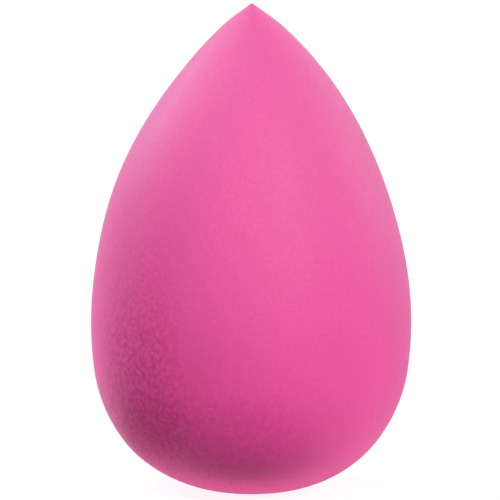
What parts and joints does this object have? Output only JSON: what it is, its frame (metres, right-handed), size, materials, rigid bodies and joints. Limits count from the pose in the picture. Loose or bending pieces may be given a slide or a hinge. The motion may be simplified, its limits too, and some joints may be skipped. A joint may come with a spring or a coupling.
{
  "type": "makeup sponge",
  "caption": "Teardrop makeup sponge of soft pink foam: a fine dense skin over an open-cell core, with a rounded base to stand on and a pointed tip for small areas.",
  "frame": {"origin": "middle of the flat patch that the sponge stands on, on its axis", "axes": "+Z along the sponge's axis from the base to the tip; the sponge is round, so X and Y are free, and -Y faces the viewer"},
  "size_m": [0.039, 0.039, 0.06],
  "materials": {
    "foam_skin": "matte moulded polyurethane foam with fine closed pores, dyed pink through",
    "foam_core": "matte open-cell polyurethane foam, dyed pink through"
  },
  "bodies": {
    "root": {"foam_skin": "foam_skin", "foam_core": "foam_core"}
  },
  "joints": []
}
